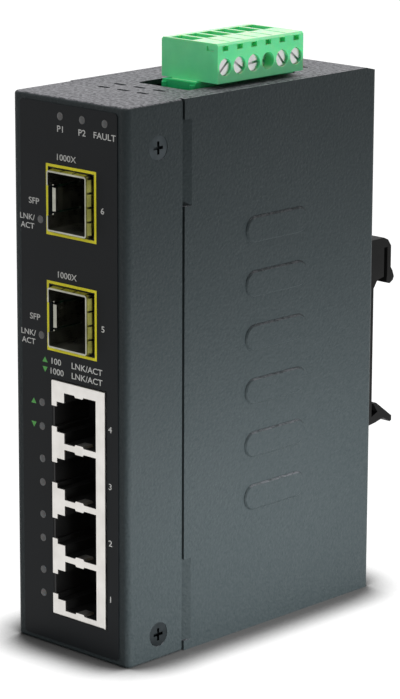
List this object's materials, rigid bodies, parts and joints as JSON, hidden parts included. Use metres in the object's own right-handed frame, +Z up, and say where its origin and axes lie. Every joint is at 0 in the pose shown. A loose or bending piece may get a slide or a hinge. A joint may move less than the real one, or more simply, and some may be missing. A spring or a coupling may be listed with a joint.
{
  "type": "din rail ethernet switch",
  "caption": "Slim upright steel-cased network switch for a DIN rail, with stacked network jacks, optical module cages, a pull-off screw terminal plug on top and a rail clip at the back.",
  "frame": {"origin": "centre of the whole part's footprint box, at the level of the case's base", "axes": "+Z up, -Y out of the front panel with the ports, +Y towards the rail, +X to the right seen from the front"},
  "size_m": [0.039, 0.1008, 0.1458],
  "materials": {
    "case_steel": "fine texture powder coat, satin",
    "zinc_steel": "bright zinc",
    "black_steel": "black zinc, satin",
    "panel_film": "printed polyester film, satin",
    "clip_plastic": "black, moulded",
    "board": "solder mask, satin",
    "black_plastic": "moulded",
    "black_aluminium": "black anodised",
    "can_aluminium": "plain",
    "ferrite": "dull",
    "relay_plastic": "moulded, satin",
    "can_metal": "nickel",
    "light_guide": "translucent, satin",
    "led_white": "moulded",
    "plated_shield": "nickel plate, satin",
    "jack_plastic": "black, moulded",
    "gold_contact": "gold flash",
    "plated_cage": "nickel plate",
    "spring_metal": "bare copper alloy",
    "green_header": "moulded, satin",
    "green_plug": "moulded, satin",
    "tin_pin": "tin plate",
    "screw_steel": "nickel plate"
  },
  "bodies": {
    "case": {"front_chassis": "case_steel", "wrap_cover": "case_steel", "case_nuts": "zinc_steel", "case_screws": "black_steel", "front_film": "panel_film", "rail_clip": "clip_plastic", "clip_screws": "black_steel", "main_board": "board", "board_screws": "zinc_steel", "port_magnetics": "black_plastic", "switch_chip": "black_plastic", "heat_sink": "black_aluminium", "power_capacitors": "can_aluminium", "power_coil": "ferrite", "alarm_relay": "relay_plastic", "clock_crystal": "can_metal", "light_guides": "light_guide", "indicator_leds": "led_white", "jack_shield": "plated_shield", "jack_housing": "jack_plastic", "jack_contacts": "gold_contact", "lower_cage": "plated_cage", "lower_cage_springs": "spring_metal", "upper_cage": "plated_cage", "upper_cage_springs": "spring_metal", "cage_connectors": "black_plastic", "terminal_header": "green_header", "header_pins": "tin_pin"},
    "plug": {"terminal_plug": "green_plug", "plug_contacts": "tin_pin"},
    "screw_1": {"terminal_screw_1": "screw_steel"},
    "clamp_1": {"wire_clamp_1": "tin_pin"},
    "screw_2": {"terminal_screw_2": "screw_steel"},
    "clamp_2": {"wire_clamp_2": "tin_pin"},
    "screw_3": {"terminal_screw_3": "screw_steel"},
    "clamp_3": {"wire_clamp_3": "tin_pin"},
    "screw_4": {"terminal_screw_4": "screw_steel"},
    "clamp_4": {"wire_clamp_4": "tin_pin"},
    "screw_5": {"terminal_screw_5": "screw_steel"},
    "clamp_5": {"wire_clamp_5": "tin_pin"},
    "screw_6": {"terminal_screw_6": "screw_steel"},
    "clamp_6": {"wire_clamp_6": "tin_pin"}
  },
  "joints": [
    {"name": "plug_lift", "type": "slide", "parent": "case", "child": "plug", "axis": [0, 0, 1], "range_m": [0, 0.02]},
    {"name": "screw_1_turn", "type": "hinge", "parent": "plug", "child": "screw_1", "pos_m": [0.0156, -0.012, 0.14005], "axis": [-1, 0, 0], "range_deg": [0, 1440.01]},
    {"name": "clamp_1_draw", "type": "slide", "parent": "plug", "child": "clamp_1", "axis": [1, 0, 0], "range_m": [0, 0.0018]},
    {"name": "screw_2_turn", "type": "hinge", "parent": "plug", "child": "screw_2", "pos_m": [0.0156, -0.007, 0.14005], "axis": [-1, 0, 0], "range_deg": [0, 1440.01]},
    {"name": "clamp_2_draw", "type": "slide", "parent": "plug", "child": "clamp_2", "axis": [1, 0, 0], "range_m": [0, 0.0018]},
    {"name": "screw_3_turn", "type": "hinge", "parent": "plug", "child": "screw_3", "pos_m": [0.0156, -0.002, 0.14005], "axis": [-1, 0, 0], "range_deg": [0, 1440.01]},
    {"name": "clamp_3_draw", "type": "slide", "parent": "plug", "child": "clamp_3", "axis": [1, 0, 0], "range_m": [0, 0.0018]},
    {"name": "screw_4_turn", "type": "hinge", "parent": "plug", "child": "screw_4", "pos_m": [0.0156, 0.003, 0.14005], "axis": [-1, 0, 0], "range_deg": [0, 1440.01]},
    {"name": "clamp_4_draw", "type": "slide", "parent": "plug", "child": "clamp_4", "axis": [1, 0, 0], "range_m": [0, 0.0018]},
    {"name": "screw_5_turn", "type": "hinge", "parent": "plug", "child": "screw_5", "pos_m": [0.0156, 0.008, 0.14005], "axis": [-1, 0, 0], "range_deg": [0, 1440.01]},
    {"name": "clamp_5_draw", "type": "slide", "parent": "plug", "child": "clamp_5", "axis": [1, 0, 0], "range_m": [0, 0.0018]},
    {"name": "screw_6_turn", "type": "hinge", "parent": "plug", "child": "screw_6", "pos_m": [0.0156, 0.013, 0.14005], "axis": [-1, 0, 0], "range_deg": [0, 1440.01]},
    {"name": "clamp_6_draw", "type": "slide", "parent": "plug", "child": "clamp_6", "axis": [1, 0, 0], "range_m": [0, 0.0018]}
  ],
  "couplings": [
    {"joint": "screw_1_turn", "follows": "clamp_1_draw", "rad_per_m": 13963},
    {"joint": "screw_2_turn", "follows": "clamp_2_draw", "rad_per_m": 13963},
    {"joint": "screw_3_turn", "follows": "clamp_3_draw", "rad_per_m": 13963},
    {"joint": "screw_4_turn", "follows": "clamp_4_draw", "rad_per_m": 13963},
    {"joint": "screw_5_turn", "follows": "clamp_5_draw", "rad_per_m": 13963},
    {"joint": "screw_6_turn", "follows": "clamp_6_draw", "rad_per_m": 13963}
  ]
}
